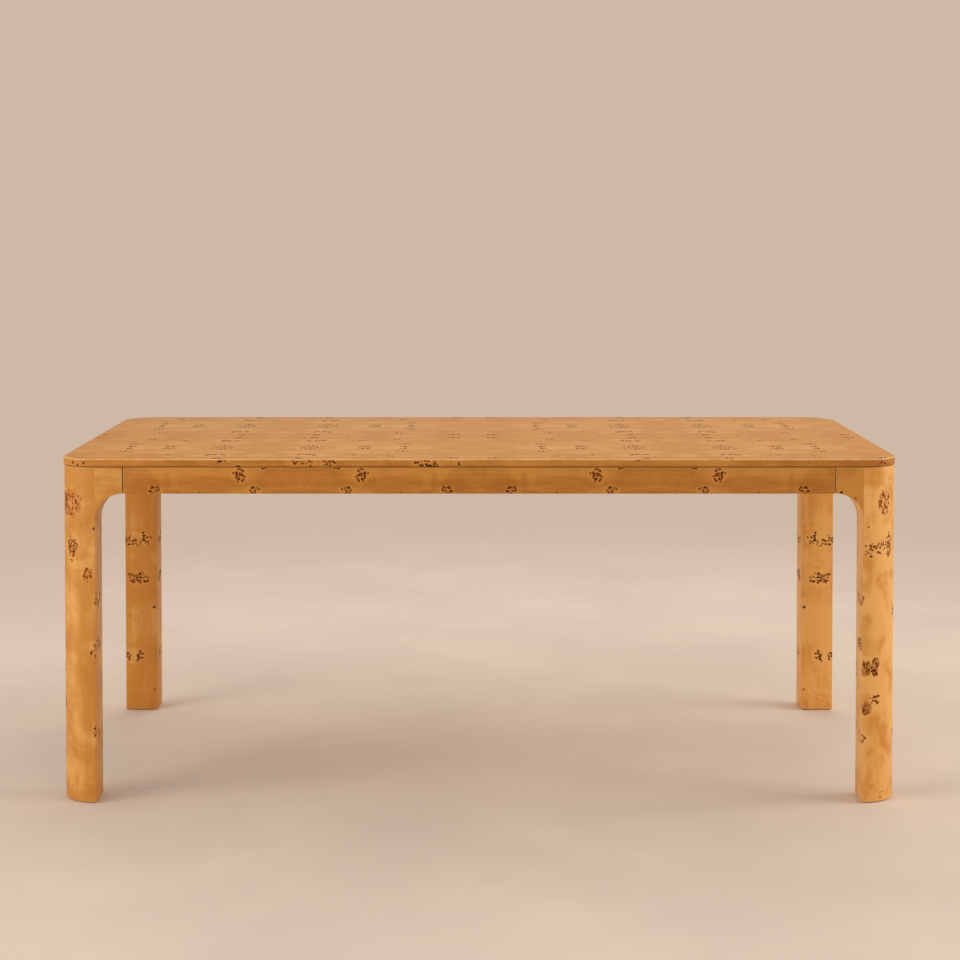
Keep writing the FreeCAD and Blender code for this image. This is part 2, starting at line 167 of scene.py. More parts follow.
# On a leg a knot is a place across the face, a height and the radii across and up. On the round
# face the place is the turn from the long side in degrees. Both flat faces of every leg have the
# same leaf, where the place is the distance from the edge in which they meet.
FLAT_KNOTS = {
    "clusters": (
        (0.05, 0.444, 0.031, 0.016), (0.048, 0.343, 0.027, 0.016),
        (0.058, 0.141, 0.024, 0.016),
    ),
    "gaps": ((0.05, 0.453, 0.018, 0.012), (0.061, 0.143, 0.008, 0.03)),
    "pins": ((0.0065, 0.268, 0.0025, 0.003), (0.0065, 0.053, 0.0015, 0.002)),
}
FRONT_LEFT_KNOTS = {
    "clusters": (
        (64, 0.652, 0.012, 0.024), (43, 0.557, 0.016, 0.028), (1, 0.333, 0.009, 0.011),
        (80, 0.285, 0.02, 0.018), (1, 0.158, 0.006, 0.014), (74, 0.216, 0.014, 0.016),
    ),
    "eyes": ((47, 0.654, 0.034, 0.031), (12, 0.5, 0.011, 0.016)),
    "pins": ((2, 0.601, 0.0015, 0.003),),
}
FRONT_RIGHT_KNOTS = {
    "clusters": (
        (10, 0.555, 0.012, 0.017), (29, 0.557, 0.012, 0.014), (49, 0.562, 0.012, 0.026),
        (21, 0.226, 0.011, 0.011), (33, 0.017, 0.007, 0.009), (76, 0.41, 0.022, 0.018),
        (80, 0.14, 0.018, 0.022),
    ),
    "eyes": ((37, 0.657, 0.017, 0.026),),
    "burrs": ((5, 0.295, 0.012, 0.018), (20, 0.299, 0.01, 0.019), (6, 0.207, 0.012, 0.014)),
    "pins": ((8, 0.604, 0.0015, 0.0015),),
}
REAR_KNOTS = {
    "clusters": (
        (24, 0.56, 0.018, 0.024), (62, 0.612, 0.02, 0.024), (38, 0.402, 0.02, 0.016),
        (16, 0.17, 0.018, 0.02), (70, 0.262, 0.02, 0.018),
    ),
    "pins": ((50, 0.48, 0.002, 0.003),),
}
KNEE_KNOTS = {
    "clusters": (
        ((0.913, 0.34, 0.686), (0.02, 0.013, 0.013)),
        ((-0.913, -0.35, 0.692), (0.02, 0.013, 0.013)),
        ((0.8, 0.456, 0.69), (0.013, 0.02, 0.013)),
    ),
    "pins": (
        ((0.785, -0.456, 0.68), (0.0022, 0.02, 0.0022)),
        ((0.816, -0.456, 0.666), (0.0016, 0.02, 0.0016)),
    ),
}


# Sizes, colours and the studio, as a user would change them

class TableShape(bpy.types.PropertyGroup):
    """Sizes of the easing on the veneered pieces"""

    top_arris: bpy.props.FloatProperty(
        name="Top arris", description="Rounding of the upper rim of the top",
        default=0.0018, min=0.0001, unit="LENGTH",
    )
    arris: bpy.props.FloatProperty(
        name="Arris", description="Rounding of the other edges that a hand would meet",
        default=0.0008, min=0.0001, unit="LENGTH",
    )
    foot_clearance: bpy.props.FloatProperty(
        name="Foot clearance", description="Gap round a levelling foot in the end of its leg",
        default=0.001, min=0.0001, unit="LENGTH",
    )
    round_steps: bpy.props.IntProperty(
        name="Steps of a round", description="Flat steps in a quarter turn of a leg or of the top",
        default=24, min=6,
    )
    sweep_steps: bpy.props.IntProperty(
        name="Steps of a knee", description="Flat steps in the concave sweep of a knee",
        default=16, min=4,
    )


class VeneerFinish(bpy.types.PropertyGroup):
    """Colours and gloss of the burl veneer"""

    pale: bpy.props.FloatVectorProperty(
        name="Pale figure", description="Colour of the palest clouds in the veneer",
        default=(0.78, 0.40, 0.115), min=0, max=1, subtype="COLOR",
    )
    honey: bpy.props.FloatVectorProperty(
        name="Honey", description="Main colour of the veneer",
        default=(0.620, 0.255, 0.048), min=0, max=1, subtype="COLOR",
    )
    amber: bpy.props.FloatVectorProperty(
        name="Amber", description="Colour of the darker clouds in the veneer",
        default=(0.445, 0.153, 0.022), min=0, max=1, subtype="COLOR",
    )
    halo: bpy.props.FloatVectorProperty(
        name="Knot halo", description="Reddish colour of the wood close round a knot",
        default=(0.290, 0.063, 0.004), min=0, max=1, subtype="COLOR",
    )
    knot: bpy.props.FloatVectorProperty(
        name="Knot", description="Colour of the pin knots",
        default=(0.052, 0.013, 0.002), min=0, max=1, subtype="COLOR",
    )
    pins_per_metre: bpy.props.FloatProperty(
        name="Pins per metre", description="How closely the pins of a cluster stand in a line",
        default=168, min=20,
    )
    roughness: bpy.props.FloatProperty(
        name="Roughness", description="Roughness of the satin lacquer",
        default=0.43, min=0, max=1, subtype="FACTOR",
    )


class Studio(bpy.types.PropertyGroup):
    """Camera, floor and light"""

    lens: bpy.props.FloatProperty(
        name="Lens", description="Focal length of the camera", default=75.75, unit="CAMERA"
    )
    camera_place: bpy.props.FloatVectorProperty(
        name="Camera place", description="Where the camera stands",
        default=(0, -4.8151, 1.2801), subtype="TRANSLATION",
    )
    camera_tilt: bpy.props.FloatProperty(
        name="Camera tilt", description="How far the camera looks down",
        default=math.radians(1.914), subtype="ANGLE",
    )
    camera_shift: bpy.props.FloatVectorProperty(
        name="Camera shift", description="Shift of the lens across and up",
        default=(0.00082, -0.2055), size=2,
    )
    floor_colour: bpy.props.FloatVectorProperty(
        name="Floor", description="Colour of the floor",
        default=(0.80, 0.67, 0.555), min=0, max=1, subtype="COLOR",
    )
    wall_colour: bpy.props.FloatVectorProperty(
        name="Surroundings", description="Their colour, as the camera and the lacquer see it",
        default=(0.62, 0.485, 0.385), min=0, max=1, subtype="COLOR",
    )
    sky_level: bpy.props.FloatProperty(
        name="Soft light", description="Level of the even light from all round",
        default=0.57, min=0,
    )
    rear_power: bpy.props.FloatProperty(
        name="Rear light", description="Power of the soft light high behind the table",
        default=27, min=0, unit="POWER",
    )
    key_power: bpy.props.FloatProperty(
        name="Key light", description="Power of the soft light on the right",
        default=192, min=0, unit="POWER",
    )
    fill_power: bpy.props.FloatProperty(
        name="Fill light", description="Power of the soft light on the left",
        default=110, min=0, unit="POWER",
    )


# Modelling helpers

def start_clean():
    """Nothing is selected, the nodes of the frame included."""
    bpy.ops.object.select_all(action="DESELECT")


def take(piece):
    """Makes a piece the active object and the only selected one."""
    start_clean()
    piece.select_set(True)
    bpy.context.view_layer.objects.active = piece


def name_piece(name):
    """Applies the place of the new active object to its mesh and names both."""
    bpy.ops.object.transform_apply(location=True, rotation=True, scale=True)
    piece = bpy.context.object
    piece.name = name
    piece.data.name = name
    return piece


def add_block(name, low, high):
    start_clean()
    middle = (low + high) / 2
    bpy.ops.mesh.primitive_cube_add(size=1, location=middle, scale=high - low)
    return name_piece(name)


def add_column(name, foot, radius, height, steps):
    start_clean()
    middle = foot + Vector((0, 0, height / 2))
    bpy.ops.mesh.primitive_cylinder_add(
        vertices=steps, radius=radius, depth=height, location=middle
    )
    return name_piece(name)


def start_editing():
    bpy.ops.object.mode_set(mode="EDIT")


def stop_editing():
    bpy.ops.object.mode_set(mode="OBJECT")


def pick(kind, test):
    """In edit mode, selects only the faces, edges or vertices that pass a test."""
    bpy.ops.mesh.select_mode(type=kind)
    bpy.ops.mesh.select_all(action="DESELECT")
    mesh = bpy.context.object.data
    shape = bmesh.from_edit_mesh(mesh)
    elements = {"FACE": shape.faces, "EDGE": shape.edges, "VERT": shape.verts}[kind]
    for element in elements:
        if test(element):
            element.select_set(True)
    shape.select_flush_mode()
    bmesh.update_edit_mesh(mesh)


def looks(direction):
    """A test for faces that look straight along a direction."""
    return lambda face: face.normal.dot(direction) > STRAIGHT


def middle_of(element):
    return sum((vertex.co for vertex in element.verts), Vector()) / len(element.verts)


def all_points(edge, test):
    return all(test(vertex.co) for vertex in edge.verts)


def is_arris(edge):
    """Edges where two faces meet at a sharp outside corner."""
    return edge.is_convex and edge.calc_face_angle(0) > ARRIS_ANGLE


def cut_across(point, normal, keep_all=True):
    """Cuts the selected faces along a plane, and may drop what lies past it and close the cut."""
    bpy.ops.mesh.bisect(
        plane_co=point, plane_no=normal, use_fill=not keep_all, clear_outer=not keep_all
    )


def push_out(step):
    bpy.ops.mesh.extrude_region_move(TRANSFORM_OT_translate={"value": step})


def round_edges(width, steps, finish=-1):
    """Rounds the selected edges. The new faces may get a finish of their own, by its number."""
    bpy.ops.mesh.bevel(offset=width, segments=steps, profile=0.5, affect="EDGES", material=finish)


def close_up():
    """Merges points that fell together and turns all faces outwards."""
    bpy.ops.mesh.select_all(action="SELECT")
    bpy.ops.mesh.remove_doubles(threshold=TOUCH)
    bpy.ops.mesh.dissolve_degenerate(threshold=TOUCH)
    bpy.ops.mesh.select_all(action="SELECT")
    bpy.ops.mesh.normals_make_consistent(inside=False)


def give_finishes(piece, *materials):
    """The finishes of a piece, numbered from 0. New faces have the first."""
    for material in materials:
        piece.data.materials.append(material)


def finish_piece(piece, *nodes):
    """Smooths a piece and lets it ride on the table in place of its nodes."""
    take(piece)
    bpy.ops.object.shade_smooth_by_angle(angle=SMOOTH_ANGLE)
    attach(piece, "table")
    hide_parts(*nodes)


def paint_faces(piece, index, test):
    """Gives the faces that pass a test another of the piece's finishes, by its number."""
    for face in piece.data.polygons:
        if test(face.center, face.normal):
            face.material_index = index


def mirrored_copy(piece, name, along_x, along_y):
    """A copy with its own mesh, mirrored over the table's middle planes where a factor is -1."""
    take(piece)
    bpy.ops.object.duplicate()
    copy = bpy.context.object
    copy.name = name
    copy.data.name = name
    start_editing()
    bpy.ops.mesh.select_all(action="SELECT")
    bpy.ops.transform.resize(value=(along_x, along_y, 1), center_override=(0, 0, 0))
    bpy.ops.mesh.normals_make_consistent(inside=False)
    stop_editing()
    return copy


# Shader expressions

class Signal:
    """A node's output in a shader. Arithmetic on it adds Math nodes to the same tree."""

    def __init__(self, tree, node, output=0):
        self.tree = tree
        self.node = node
        self.socket = node.outputs[output]

    def add(self, kind, settings, inputs, output=0):
        """Adds a node: its settings first, then the values or links of its sockets."""
        node = self.tree.nodes.new(kind)
        for name, value in settings.items():
            if name == "stops":
                set_stops(node.color_ramp, value)
            else:
                setattr(node, name, value)
        for key, value in inputs.items():
            if isinstance(value, Signal):
                self.tree.links.new(value.socket, node.inputs[key])
            else:
                node.inputs[key].default_value = value
        return Signal(self.tree, node, output)

    def other(self, output):
        """Another output of the same node."""
        return Signal(self.tree, self.node, output)

    def math(self, operation, first, second=0.0):
        return self.add("ShaderNodeMath", {"operation": operation}, {0: first, 1: second})

    def __add__(self, value):
        return self.math("ADD", self, value)

    __radd__ = __add__

    def __sub__(self, value):
        return self.math("SUBTRACT", self, value)

    def __rsub__(self, value):
        return self.math("SUBTRACT", value, self)

    def __mul__(self, value):
        return self.math("MULTIPLY", self, value)

    __rmul__ = __mul__

    def __truediv__(self, value):
        return self.math("DIVIDE", self, value)

    def __gt__(self, value):
        return self.math("GREATER_THAN", self, value)

    def fold(self, length):
        """Runs to and fro between 0 and a length, as book-matched leaves do."""
        return self.math("PINGPONG", self, length)

    def ramp(self, start, end):
        """Smooth rise from 0 at start to 1 at end, which may be the lower of the two."""
        inputs = {"Value": self, "From Min": start, "From Max": end}
        return self.add("ShaderNodeMapRange", {"interpolation_type": "SMOOTHSTEP"}, inputs)

    def vector(self, operation, *values, output="Vector"):
        inputs = dict(enumerate((self,) + values))
        return self.add("ShaderNodeVectorMath", {"operation": operation}, inputs, output)

    def parts(self):
        """The three values of a vector."""
        node = self.add("ShaderNodeSeparateXYZ", {}, {0: self})
        return node, node.other(1), node.other(2)

    def joined(self, x, y, z):
        return self.add("ShaderNodeCombineXYZ", {}, {0: x, 1: y, 2: z})

    def noise(self, scale, detail=2.0, roughness=0.5, distortion=0.0):
        """Cloudy noise at this place, around one half."""
        inputs = {"Vector": self, "Scale": scale, "Detail": detail}
        inputs.update({"Roughness": roughness, "Distortion": distortion})
        return self.add("ShaderNodeTexNoise", {}, inputs)

    def over(self, under, colour):
        """A colour laid over another where this value is 1."""
        return self.add("ShaderNodeMix", {"data_type": "RGBA"}, {0: self, 6: under, 7: colour}, 2)

    def tones(self, *stops):
        """A colour from this value, through stops of (position, colour)."""
        settings = {"stops": [(place, (*colour, 1)) for place, colour in stops]}
        return self.add("ShaderNodeValToRGB", settings, {0: self})


def set_stops(ramp, stops):
    while len(ramp.elements) < len(stops):
        ramp.elements.new(1)
    for element, (place, colour) in zip(ramp.elements, stops):
        element.position = place
        element.color = colour
    ramp.interpolation = "EASE"


def new_finish(name):
    """A new material, and the place of each point on the piece."""
    material = bpy.data.materials.new(name)
    material.use_nodes = True
    tree = material.node_tree
    return material, Signal(tree, tree.nodes.new("ShaderNodeTexCoord"), "Object")


def feed(material, **inputs):
    """Links signals to the surface shader, and sets what is the same all over on its sockets."""
    tree = material.node_tree
    surface = tree.nodes["Principled BSDF"]
    for name, value in inputs.items():
        socket = surface.inputs[name.replace("_", " ").title().replace("Ior", "IOR")]
        if isinstance(value, Signal):
            tree.links.new(value.socket, socket)
        else:
            socket.default_value = value
    return material


RELIEF = 0.0002  # depth of the grain of wood and board
FINE_RELIEF = 0.0001  # depth of the texture of metal and plastic


def bump(height, strength, depth):
    """Normal of a surface with this relief, in metres."""
    inputs = {"Height": height, "Strength": strength, "Distance": depth}
    return height.add("ShaderNodeBump", {}, inputs)


# Burl veneer

# Noise scales along the three axes, small along the fibre
LONG_FIBRE = (26, 300, 300)
CROSS_FIBRE = (300, 26, 300)
BAND_FIBRE = (26, 26, 300)
LEG_FIBRE = (240, 240, 22)
KNEE_FIBRE = (40, 40, 240)

# Figure of the wood: noise scales, and the share of each layer in the tone. An edge is where a
# value begins and ends to change, mostly as a distance from a knot's middle, with its rim at 1.
STREAK_STRETCH = 0.12  # beside the scales of the fibre
SPECK_SCALE = 620
FLOW_SCALE = 5
FLOW_BANDS = 62  # how closely the faint bands follow each other
FLOW_BEND = 0.06  # how far they bend round a knot
FLOW_BEND_EDGE = (3.2, 0.5)
BAND_PATCH_SCALE = 7
BAND_PATCH_EDGE = (0.40, 0.65)
STREAK_SHARE, GRAIN_SHARE, SPECK_SHARE, BAND_SHARE = 0.5, 0.26, 0.08, 0.05
PALE_SHARE = 0.12  # round a knot
PALE_EDGE = (1.8, 0.9)
AMBER_TONE, HONEY_TONE, PALE_TONE = 0.12, 0.46, 0.84

# Pin knots, whose radii are parts of the space between two pins
SHAKE_SCALE, SHAKE = 240, 0.004  # noise that makes their outlines ragged
PATCH_SCALE, PATCH_SHARE = 75, 0.7  # noise that makes a cluster's outline uneven
PIN_CHANCE = 0.88
CLUSTER_EDGE = (1.15, 0.92)
GAP_EDGE = (0.80, 1.0)
PIN_RADIUS, PIN_SPREAD = 0.36, 0.22
FINE_LESS = 0.15  # from the radius of a fine cluster's pins
FINE_EDGE = (1.6, 1.5)
PIN_EDGE = (1.05, 0.80)
RING_EDGE = (1.40, 1.0)
RING_STAIN, RED_RING_STAIN = 0.78, 0.17  # the second is added round a reddish pin
RED_EDGE = (0.9, 1.1)  # of a pin's random value, less the reddish share
RED_FADE = 0.6  # how much less dark a reddish pin is
LONE_EDGE = (1.2, 0.9)
LONE_RING_EDGE = (2.2, 1.0)
LONE_RING_STAIN = 0.5

# Eyes and burrs: brightness of the halo, stain between the flecks and depth of the flecks
STREAKED = {"eyes": (1.4, 0.20, 0.46), "burrs": (1.0, 0.50, 0.85)}
RAG_SCALE, RAG_SHARE = 110, 1.1  # noise that makes their outlines ragged
STREAKED_EDGE = (1.15, 0.80)
FLECK_SCALE = 200
FLECK_STRETCH = (1, 1, 0.7)
FLECK_STAIN = 0.9
FLECK_STAIN_EDGE = (0.47, 0.54)
FLECK_DARK_EDGE = (0.54, 0.62)


def knot_distance(spot, knots):
    """How far a spot of the leaf is from the nearest knot, where 1 is its rim."""
    nearest = None
    for middle, radii in knots:
        scale = [1 / r if r else 0 for r in radii]
        shift = [-m * s for m, s in zip(middle, scale)]
        away = spot.vector("MULTIPLY_ADD", scale, shift).vector("LENGTH", output="Value")
        nearest = away if nearest is None else away.math("MINIMUM", nearest, away)
    return nearest


def wood_figure(spot, around, fibre, clouds, cloud_scale):
    """Tone of the wood about one half, with the grain and the specks in it.

    It has soft clouds, streaks along the fibre and broad faint bands that bend round the knots.
    """
    cloud = spot.noise(cloud_scale, detail=3, distortion=0.7)
    stretched = spot.vector("MULTIPLY", [STREAK_STRETCH * scale for scale in fibre])
    streak = stretched.noise(1, distortion=0.6)
    grain = spot.vector("MULTIPLY", fibre).noise(1, detail=4, roughness=0.6)
    speck = spot.noise(SPECK_SCALE, roughness=0.6)
    flow = spot.noise(FLOW_SCALE, detail=3, roughness=0.45, distortion=1.2)
    turn = (flow + FLOW_BEND * around.ramp(*FLOW_BEND_EDGE)) * FLOW_BANDS
    patch = spot.noise(BAND_PATCH_SCALE, detail=1).ramp(*BAND_PATCH_EDGE)
    band = turn.math("SINE", turn) * patch
    tone = 0.5
    for layer, share in (
        (cloud, clouds), (streak, STREAK_SHARE), (grain, GRAIN_SHARE), (speck, SPECK_SHARE)
    ):
        tone = tone + share * (layer - 0.5)
    tone = tone + BAND_SHARE * band + PALE_SHARE * around.ramp(*PALE_EDGE)
    return tone, grain, speck


def cluster_pins(shaken, kinds, pins_per_metre):
    """Pins of the clusters, the rings round them and a random value for each pin.

    A pin is whole where its own middle is in a cluster.
    """
    cells = shaken.add("ShaderNodeTexVoronoi", {}, {"Vector": shaken, "Scale": pins_per_metre})
    chance, size, red = cells.other("Color").parts()
    middle = cells.other("Position")
    uneven = PATCH_SHARE * (middle.noise(PATCH_SCALE, detail=1) - 0.5)
    from_cluster = knot_distance(middle, kinds["clusters"] + kinds["fine"]) + uneven
    likely = PIN_CHANCE * from_cluster.ramp(*CLUSTER_EDGE)
    if kinds["gaps"]:
        likely = likely * knot_distance(middle, kinds["gaps"]).ramp(*GAP_EDGE)
    present = likely > chance
    radius = PIN_RADIUS + PIN_SPREAD * size
    if kinds["fine"]:
        radius = radius - FINE_LESS * knot_distance(middle, kinds["fine"]).ramp(*FINE_EDGE)
    from_pin = cells / radius
    return from_pin.ramp(*PIN_EDGE) * present, from_pin.ramp(*RING_EDGE) * present, red


def burl(
    name, leaf, knots, fibre, warmth, clouds,
    cloud_scale=8.5, coarse=1.0, red_share=0.25, light=1.0,
):
    """Lacquered burl veneer.

    leaf maps a place on the piece to its spot on a veneer leaf, fibre holds the noise scales
    along the three axes, warmth moves the colour from pale to amber, clouds is the strength of
    the figure and cloud_scale how small it is, coarse is the size of the pins beside the usual
    one, red_share the part of them that is reddish and light scales the leaf's colours, as
    painted light on a leg that stands brighter in the light from the right.
    """
    finish = bpy.context.scene.table_finish
    material, place = new_finish(name)
    spot = leaf(place)
    kinds = {kind: knots.get(kind, ()) for kind in KNOT_KINDS}
    grouped = kinds["clusters"] + kinds["fine"] + kinds["eyes"] + kinds["burrs"]
    around = knot_distance(spot, grouped)
    tone, grain, speck = wood_figure(spot, around, fibre, clouds, cloud_scale)
    amber, honey, pale = (
        [min(1, light * c) for c in colour] for colour in (finish.amber, finish.honey, finish.pale)
    )
    stops = ((AMBER_TONE, amber), (HONEY_TONE, honey), (PALE_TONE, pale))
    wood = (tone - warmth).tones(*stops)

    # Pin knots in clusters and single ones
    sway = spot.noise(SHAKE_SCALE, detail=1).other("Color").vector("SUBTRACT", (0.5, 0.5, 0.5))
    shaken = sway.vector("MULTIPLY_ADD", (SHAKE, SHAKE, SHAKE), spot)
    dot, ring, red = cluster_pins(shaken, kinds, finish.pins_per_metre / coarse)
    from_lone_pin = knot_distance(shaken, kinds["pins"])
    lone_dot = from_lone_pin.ramp(*LONE_EDGE)
    lone_ring = from_lone_pin.ramp(*LONE_RING_EDGE)
    reddish = red.ramp(*(value - red_share for value in RED_EDGE))
    dark = dot.math("MAXIMUM", dot * (1 - RED_FADE * reddish), lone_dot)
    ring = ring * (RING_STAIN + RED_RING_STAIN * reddish)
    stained = ring.math("MAXIMUM", ring, lone_ring * LONE_RING_STAIN)
    wood = stained.over(wood, (*finish.halo, 1))

    # Eyes and burrs
    for kind, (brightness, stain, depth) in STREAKED.items():
        if kinds[kind]:
            ragged = RAG_SHARE * (spot.noise(RAG_SCALE) - 0.5)
            inside = (knot_distance(shaken, kinds[kind]) + ragged).ramp(*STREAKED_EDGE)
            stretched = spot.vector("MULTIPLY", FLECK_STRETCH)
            fleck = stretched.noise(FLECK_SCALE, detail=1, distortion=0.6)
            streaked = inside * (stain + FLECK_STAIN * fleck.ramp(*FLECK_STAIN_EDGE))
            wood = streaked.over(wood, (*(brightness * c for c in finish.halo), 1))
            stained = stained.math("MAXIMUM", stained, streaked)
            dark = dark.math("MAXIMUM", dark, depth * inside * fleck.ramp(*FLECK_DARK_EDGE))
    wood = dark.over(wood, (*finish.knot, 1))

    # The lacquer is thinner on knots and duller where the wood is stained
    uneven_gloss = 0.12 * (grain - 0.5) + 0.2 * stained + 0.25 * dark
    return feed(
        material,
        base_color=wood,
        roughness=finish.roughness + uneven_gloss,
        normal=bump(0.25 * grain + 0.12 * speck - 0.6 * dark, 0.3, RELIEF),
        coat_weight=0.06 - 0.06 * dark,
        coat_roughness=0.25,
        specular_IOR_level=0.10,
    )


def eased_edge(name, highlight_lift):
    """An arris of the veneer, paler than its faces: partly rubbed wear, partly a painted
    highlight.
    """
    finish = bpy.context.scene.table_finish
    material, place = new_finish(name)
    # Uneven paleness along the arris, partly rubbed wear and partly painted highlight
    wear_and_highlight = place.noise(45, detail=3, roughness=0.6)
    # Painted highlight: the palest tone is the pale colour raised further
    light = [min(1, c + highlight_lift) for c in finish.pale]
    colour = wear_and_highlight.tones((0.25, finish.honey), (0.38, finish.pale), (0.55, light))
    roughness = finish.roughness - 0.06 + 0.1 * wear_and_highlight
    return feed(material, base_color=colour, roughness=roughness, coat_weight=0.1)


def top_leaf(place):
    x, y, z = place.parts()
    return place.joined((x + TOP_LEAF_SHIFT).fold(TOP_LEAF[0]), y.fold(TOP_LEAF[1]), z)


def apron_leaf(place):
    x, y, z = place.parts()
    return place.joined(x.fold(APRON_LEAF), y, z)


def end_apron_leaf(place):
    x, y, z = place.parts()
    return place.joined(x, y.fold(END_APRON_LEAF), z)


def plain_leaf(place):
    return place


def matched_legs_leaf(place):
    """The two rear legs are a matched pair."""
    x, y, z = place.parts()
    return place.joined(x.math("ABSOLUTE", x), y, z)


def leg_knots(round_knots, side, front):
    """Middles and radii, in the frame, of the knots on a leg's round face and two flat faces."""
    axis_x = -POST_HIGH.x
    axis_y = -POST_HIGH.y
    placed = {}
    for kind in KNOT_KINDS:
        marks = []
        for turn, up, across, rise in round_knots.get(kind, ()):
            x = axis_x + LEG_RADIUS * math.sin(math.radians(turn))
            y = axis_y + LEG_RADIUS * math.cos(math.radians(turn))
            marks.append(((side * x, front * y, up), (across, across, rise)))
        for away, up, across, rise in FLAT_KNOTS.get(kind, ()):
            on_long_face = (side * (axis_x + away), front * axis_y, up)
            on_end_face = (side * axis_x, front * (axis_y + away), up)
            marks.append((on_long_face, (across, KNOT_DEPTH, rise)))
            marks.append((on_end_face, (KNOT_DEPTH, across, rise)))
        placed[kind] = tuple(marks)
    return placed


def leg_burl(name, round_knots, leaf, side, front, **look):
    """Veneer of a leg, whose side and front are -1 or 1."""
    knots = leg_knots(round_knots, side, front)
    return burl(name, leaf, knots, LEG_FIBRE, **look)


# Finishes of the hidden frame

def dark_stain():
    """Black stained spacer wood that lets a little grain through. On the ends of the aprons it
    also paints the shade deep in a seam's groove.
    """
    material, place = new_finish("dark_spacer")
    grain = place.vector("MULTIPLY", (30, 30, 400)).noise(6, detail=4)
    colour = grain.tones((0.3, (0.006, 0.005, 0.004)), (0.75, (0.022, 0.018, 0.015)))
    relief = bump(grain, 0.2, RELIEF)
    return feed(material, base_color=colour, roughness=0.62 + 0.2 * grain, normal=relief)


def fibreboard():
    """Pressed fibreboard with fine mixed flecks."""
    material, place = new_finish("board_core")
    fleck = place.noise(900, detail=3, roughness=0.7)
    drift = place.noise(12)
    tone = 0.7 * fleck + 0.3 * drift
    colour = tone.tones((0.25, (0.21, 0.13, 0.070)), (0.75, (0.38, 0.26, 0.155)))
    relief = bump(fleck, 0.25, RELIEF)
    return feed(material, base_color=colour, roughness=0.78 + 0.1 * fleck, normal=relief)


def straight_grain(name, dark, pale, along, ring_scale, roughness):
    """Plain timber. along holds the noise scales along the three axes."""
    material, place = new_finish(name)
    stretched = place.vector("MULTIPLY", along)
    ring = stretched.noise(ring_scale, detail=3, distortion=0.4)
    pore = stretched.noise(ring_scale * 14, roughness=0.6)
    band = (ring * 34).math("SINE", ring * 34)
    tone = 0.45 * ring + 0.10 * band + 0.45 * pore
    colour = tone.tones((0.25, dark), (0.70, pale))
    uneven = roughness + 0.12 * (pore - 0.5)
    return feed(material, base_color=colour, roughness=uneven, normal=bump(pore, 0.25, RELIEF))


def zinc_plate():
    """Zinc plated steel with a faint spangle."""
    material, place = new_finish("zinc_steel")
    spangle = place.add("ShaderNodeTexVoronoi", {}, {"Vector": place, "Scale": 700})
    cloud = place.noise(260, detail=3)
    tone = 0.5 * spangle + 0.5 * cloud
    colour = tone.tones((0.2, (0.42, 0.42, 0.40)), (0.8, (0.66, 0.65, 0.62)))
    roughness = 0.30 + 0.2 * cloud
    relief = bump(cloud, 0.1, FINE_RELIEF)
    return feed(material, base_color=colour, metallic=1.0, roughness=roughness, normal=relief)


def moulded_nylon():
    """Moulded foot with a fine spark-eroded texture."""
    material, place = new_finish("foot_nylon")
    spark = place.noise(2400, roughness=0.6)
    cloud = place.noise(60)
    tone = 0.4 * spark + 0.6 * cloud
    colour = tone.tones((0.2, (0.012, 0.011, 0.010)), (0.8, (0.034, 0.031, 0.029)))
    relief = bump(spark, 0.3, FINE_RELIEF)
    return feed(material, base_color=colour, roughness=0.46 + 0.16 * spark, normal=relief)


# Dark and pale colour, noise scales along the three axes, scale of the rings and roughness
TIMBERS = {
    "backing_veneer": ((0.32, 0.165, 0.070), (0.50, 0.300, 0.145), (3, 60, 60), 3, 0.50),
    "frame_wood": ((0.36, 0.205, 0.100), (0.58, 0.390, 0.220), (7, 7, 40), 5, 0.56),
    "dowel_wood": ((0.42, 0.260, 0.140), (0.60, 0.420, 0.260), (30, 30, 90), 5, 0.60),
}


def hidden_finishes():
    """The finish of each material slot that isn't veneered."""
    finishes = {slot: straight_grain(slot, *look) for slot, look in TIMBERS.items()}
    finishes["board_core"] = fibreboard()
    finishes["dark_spacer"] = dark_stain()
    finishes["zinc_steel"] = zinc_plate()
    finishes["foot_nylon"] = moulded_nylon()
    return finishes


# Pieces

def is_lower_rim(edge):
    """Edges of the outer outline on the underside."""
    if not all_points(edge, lambda p: p.z < BAND_LOW.z + TOUCH):
        return False
    side_faces = [face for face in edge.link_faces if abs(face.normal.z) < ACROSS]
    return all(face.normal.dot(middle_of(face)) > 0 for face in side_faces)


